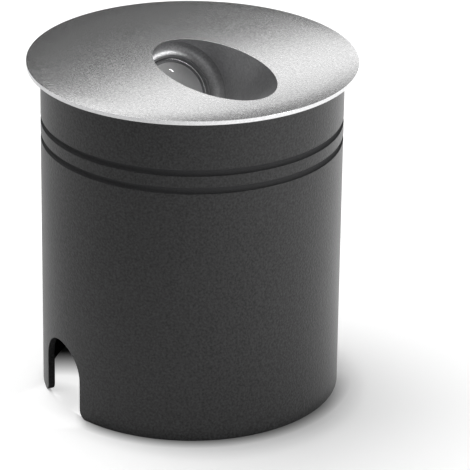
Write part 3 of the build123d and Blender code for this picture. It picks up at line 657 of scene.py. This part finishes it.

# Inside the tube the top-up is painted light spilling in through the notch: it fades from the notch inwards, and is
# weaker in an oval round the notch's sill.
notch_foot = (0, -sleeve_radius / 1000, 0)
from_notch = add(tree, "ShaderNodeVectorMath", {0: place, 1: notch_foot}, operation="DISTANCE")
painted_spill_light = add(tree, "ShaderNodeMapRange",
            {"Value": from_notch.outputs["Value"], "From Min": spill_reach[0] / 1000,
             "From Max": spill_reach[1] / 1000, "To Min": 1.0, "To Max": 0.0})
painted_spill_light = add(tree, "ShaderNodeMath", {0: painted_spill_light.outputs["Result"], 1: spill_fall}, operation="POWER")
oval = add(tree, "ShaderNodeVectorMath", {0: place, 1: (sill_squeeze, 1, 1)}, operation="MULTIPLY")
from_sill = add(tree, "ShaderNodeVectorMath", {0: oval.outputs["Vector"], 1: notch_foot}, operation="DISTANCE")
inner = add(tree, "ShaderNodeMapRange",
            {"Value": from_sill.outputs["Value"], "From Min": sill_reach[0] / 1000,
             "From Max": sill_reach[1] / 1000, "To Min": sill_glow[0], "To Max": sill_glow[1]})
painted_spill_light = add(tree, "ShaderNodeMath", {0: painted_spill_light.outputs["Value"], 1: inner.outputs["Result"]}, operation="MULTIPLY")

# Outside it the top-up is full at the foot on the lit side, and grows over 13 mm on the shaded side, which deepens
# the real shadow there with painted shade. In front of the notch it is stronger, painted light.
shaded = shaded_shift * (np.sin(shaded_way) * right + np.cos(shaded_way) * away)
from_shade = add(tree, "ShaderNodeVectorMath", {0: place, 1: tuple(shaded / 1000)}, operation="DISTANCE")
clear = add(tree, "ShaderNodeMapRange",
            {"Value": from_shade.outputs["Value"], "From Min": clear_reach[0] / 1000,
             "From Max": clear_reach[1] / 1000, "To Max": clear_glow})
painted_porch_light = add(tree, "ShaderNodeMapRange",
            {"Value": from_notch.outputs["Value"], "From Min": porch_reach[0] / 1000,
             "From Max": porch_reach[1] / 1000, "To Min": porch_glow, "To Max": 0.0})
clear = add(tree, "ShaderNodeMath", {0: clear.outputs["Result"], 1: painted_porch_light.outputs["Result"]}, operation="MAXIMUM")
shown = add(tree, "ShaderNodeMix",
            {"Factor": within.outputs["Value"], "A": clear.outputs["Value"], "B": painted_spill_light.outputs["Value"]},
            data_type="FLOAT")

# What metal and glass see grows from left to right: a painted reflection, brighter towards the right.
painted_reflection = add(tree, "ShaderNodeMapRange",
               {"Value": to_right.outputs["Value"], "From Min": -mirror_reach / 1000,
                "From Max": mirror_reach / 1000, "To Min": 0.0, "To Max": mirror_glow})
painted_reflection = add(tree, "ShaderNodeMix",
               {"Factor": within.outputs["Value"], "A": painted_reflection.outputs["Result"], "B": 0.0}, data_type="FLOAT")
bounced = add(tree, "ShaderNodeMath",
              {0: rays.outputs["Is Glossy Ray"], 1: rays.outputs["Is Transmission Ray"]}, operation="MAXIMUM")
painted_reflection = add(tree, "ShaderNodeMath",
               {0: painted_reflection.outputs["Result"], 1: bounced.outputs["Value"]}, operation="MULTIPLY")
top_up = add(tree, "ShaderNodeMath",
             {0: shown.outputs["Result"], 1: rays.outputs["Is Camera Ray"], 2: painted_reflection.outputs["Value"]},
             operation="MULTIPLY_ADD")

# A painted contact shadow darkens the card's colour round the front of the foot, from the notch to the right, and
# fades at both ends. The top-up is held back under it.
near_foot = add(tree, "ShaderNodeMapRange",
                {"Value": from_axis.outputs["Value"], "From Min": (sleeve_radius + contact_reach[0]) / 1000,
                 "From Max": (sleeve_radius + contact_reach[1]) / 1000, "To Min": contact_shadow_depth, "To Max": 0.0})
past_notch = add(tree, "ShaderNodeMapRange",
                 {"Value": to_right.outputs["Value"], "From Min": contact_left[0] / 1000,
                  "From Max": contact_left[1] / 1000})
in_front = add(tree, "ShaderNodeMapRange",
               {"Value": to_back.outputs["Value"], "From Min": contact_back[0] / 1000,
                "From Max": contact_back[1] / 1000, "To Min": 1.0, "To Max": 0.0})
painted_contact_shadow = add(tree, "ShaderNodeMath",
              {0: near_foot.outputs["Result"], 1: past_notch.outputs["Result"]}, operation="MULTIPLY")
painted_contact_shadow = add(tree, "ShaderNodeMath",
              {0: painted_contact_shadow.outputs["Value"], 1: in_front.outputs["Result"]}, operation="MULTIPLY")
painted_contact_shadow = add(tree, "ShaderNodeMix",
              {"Factor": within.outputs["Value"], "A": painted_contact_shadow.outputs["Value"], "B": 0.0}, data_type="FLOAT")
shade = add(tree, "ShaderNodeMix",
            {"Factor": painted_contact_shadow.outputs["Result"], "A": tint.outputs["Result"], "B": linear("#000000")},
            data_type="RGBA")
tree.links.new(shade.outputs["Result"], shader.inputs["Base Color"])
kept = add(tree, "ShaderNodeMath", {0: 1.0, 1: painted_contact_shadow.outputs["Result"]}, operation="SUBTRACT")
top_up = add(tree, "ShaderNodeMath", {0: top_up.outputs["Value"], 1: kept.outputs["Value"]}, operation="MULTIPLY")
tree.links.new(top_up.outputs["Value"], shader.inputs["Emission Strength"])

corners = np.array([(-1, -1, 0), (1, -1, 0), (1, 1, 0), (-1, 1, 0)]) * card_half / 1000
floor_mesh = bpy.data.meshes.new("floor")
floor_mesh.from_pydata(corners, [], [(0, 1, 2, 3)])
floor_mesh.materials.append(card)
floor = bpy.data.objects.new("floor", floor_mesh)
bpy.context.scene.collection.objects.link(floor)


# Studio light. A grey room, darkest behind on the left and dim in front, which the camera sees as white. A large
# soft box high on the left throws the shadow to the right, a narrow strip box leans behind on the right for the
# face to mirror, a box low on the right lights the scoop, and a short bare lamp above it makes the lens's streak.
def sky(side, rise):
    """A direction by its angles in degrees: sin(s) cos(e) to the right, cos(s) cos(e) away and sin(e) up."""
    side, rise = np.radians(side), np.radians(rise)
    return np.cos(rise) * (np.sin(side) * right + np.cos(side) * away) + np.sin(rise) * upward


def soft_box(name, middle, along, length, width, radiance):
    """A rectangular lamp at a place in millimetres that faces a point half way up the marker light, with its
    length along a direction. Its power is the radiance times pi times its area."""
    lamp = bpy.data.lights.new(name, "AREA")
    lamp.shape = "RECTANGLE"
    lamp.size, lamp.size_y = length / 1000, width / 1000
    lamp.energy = radiance * np.pi * lamp.size * lamp.size_y
    box = bpy.data.objects.new(name, lamp)
    bpy.context.scene.collection.objects.link(box)
    facing = (middle - half_way_up) / np.linalg.norm(middle - half_way_up)
    along = along - (along @ facing) * facing
    along = along / np.linalg.norm(along)
    placing = np.eye(4)
    placing[:3, 0], placing[:3, 1], placing[:3, 2] = along, np.cross(facing, along), facing
    placing[:3, 3] = middle / 1000
    box.matrix_world = Matrix(placing)
    box.visible_camera = False


half_way_up = 50 * upward
face_middle = rim_top * upward
key_side, key_rise, key_distance, key_size = -55, 66, 1400, 1400
strip_side, strip_rise, strip_lean = 20.9, 9, 2.36
strip_distance, strip_shift = 700, 208
scoop_side, scoop_rise, scoop_distance = 120, 13, 900
catch_side, catch_rise, catch_distance = 106.2, 44.65, 1200
catch_from = 85 * upward

soft_box("key_box", key_distance * sky(key_side, key_rise), away, key_size, key_size, radiance=3.4)
strip_way = np.cos(strip_lean) * sky(strip_side + 90, 0) + np.sin(strip_lean) * sky(strip_side, strip_rise + 90)
strip_place = face_middle + strip_distance * sky(strip_side, strip_rise) + strip_shift * strip_way
soft_box("strip_box", strip_place, strip_way, length=956, width=76, radiance=1.75)
scoop_place = face_middle + scoop_distance * sky(scoop_side, scoop_rise)
soft_box("scoop_box", scoop_place, sky(scoop_side - 90, 0), length=350, width=390, radiance=6.8)
catch_place = catch_from + catch_distance * sky(catch_side, catch_rise)
soft_box("catch_light", catch_place, sky(catch_side, catch_rise + 90), length=42, width=10, radiance=40.0)

dark_way = sky(-50, 15)
room_span, room_levels = (-0.6, 0.9), (0.62, 0.05)
front_span, front_level = 0.6, 0.45
world = bpy.data.worlds.new("studio")
bpy.context.scene.world = world
world.use_nodes = True
tree = world.node_tree
gaze = add(tree, "ShaderNodeTexCoord").outputs["Generated"]
towards_dark = add(tree, "ShaderNodeVectorMath", {0: gaze, 1: tuple(dark_way)}, operation="DOT_PRODUCT")
room = add(tree, "ShaderNodeMapRange",
           {"Value": towards_dark.outputs["Value"], "From Min": room_span[0], "From Max": room_span[1],
            "To Min": room_levels[0], "To Max": room_levels[1]})
towards_front = add(tree, "ShaderNodeVectorMath", {0: gaze, 1: tuple(-away)}, operation="DOT_PRODUCT")
dimming = add(tree, "ShaderNodeMapRange",
              {"Value": towards_front.outputs["Value"], "From Min": 0.0, "From Max": front_span,
               "To Min": 1.0, "To Max": front_level})
level = add(tree, "ShaderNodeMath", {0: room.outputs["Result"], 1: dimming.outputs["Result"]}, operation="MULTIPLY")
shown = add(tree, "ShaderNodeMix",
            {"Factor": add(tree, "ShaderNodeLightPath").outputs["Is Camera Ray"],
             "A": level.outputs["Value"], "B": 1.0}, data_type="FLOAT")
tree.links.new(shown.outputs["Result"], tree.nodes["Background"].inputs["Strength"])
tree.nodes["Background"].inputs["Color"].default_value = (1, 1, 1, 1)

# Camera. It looks down by 24 degrees from 0.94 m away, with the beam turned to the right. The focus is in pixels of
# a picture 470 wide, and the camera is turned so that the point it is set on falls in column 193.
camera_pitch = np.radians(24.16)
camera_roll = np.radians(0.465)
camera_distance = 938.0
camera_focus = 3391.5
picture_width = 470
target_column = 193
target_right, target_up = 0.47, 42.61
sensor_width = 36

forward = np.cos(camera_pitch) * away - np.sin(camera_pitch) * upward
upright = np.cross(right, forward)
target = target_right * right + target_up * upward
camera_place = target - camera_distance * forward
turn = np.arctan((picture_width / 2 - target_column) / camera_focus)
rolled_right = np.cos(camera_roll) * right + np.sin(camera_roll) * upright
rolled_up = np.cos(camera_roll) * upright - np.sin(camera_roll) * right
look = np.cos(turn) * forward + np.sin(turn) * rolled_right
side_way = np.cos(turn) * rolled_right - np.sin(turn) * forward
camera_data = bpy.data.cameras.new("camera")
camera_data.sensor_width = sensor_width
camera_data.lens = sensor_width * camera_focus / picture_width
camera_data.clip_start = 0.05
camera_data.clip_end = 20
camera = bpy.data.objects.new("camera", camera_data)
bpy.context.scene.collection.objects.link(camera)
placing = np.eye(4)
placing[:3, 0], placing[:3, 1], placing[:3, 2] = side_way, rolled_up, -look
placing[:3, 3] = camera_place / 1000
camera.matrix_world = Matrix(placing)
bpy.context.scene.camera = camera
bpy.context.scene.view_settings.view_transform = "Standard"
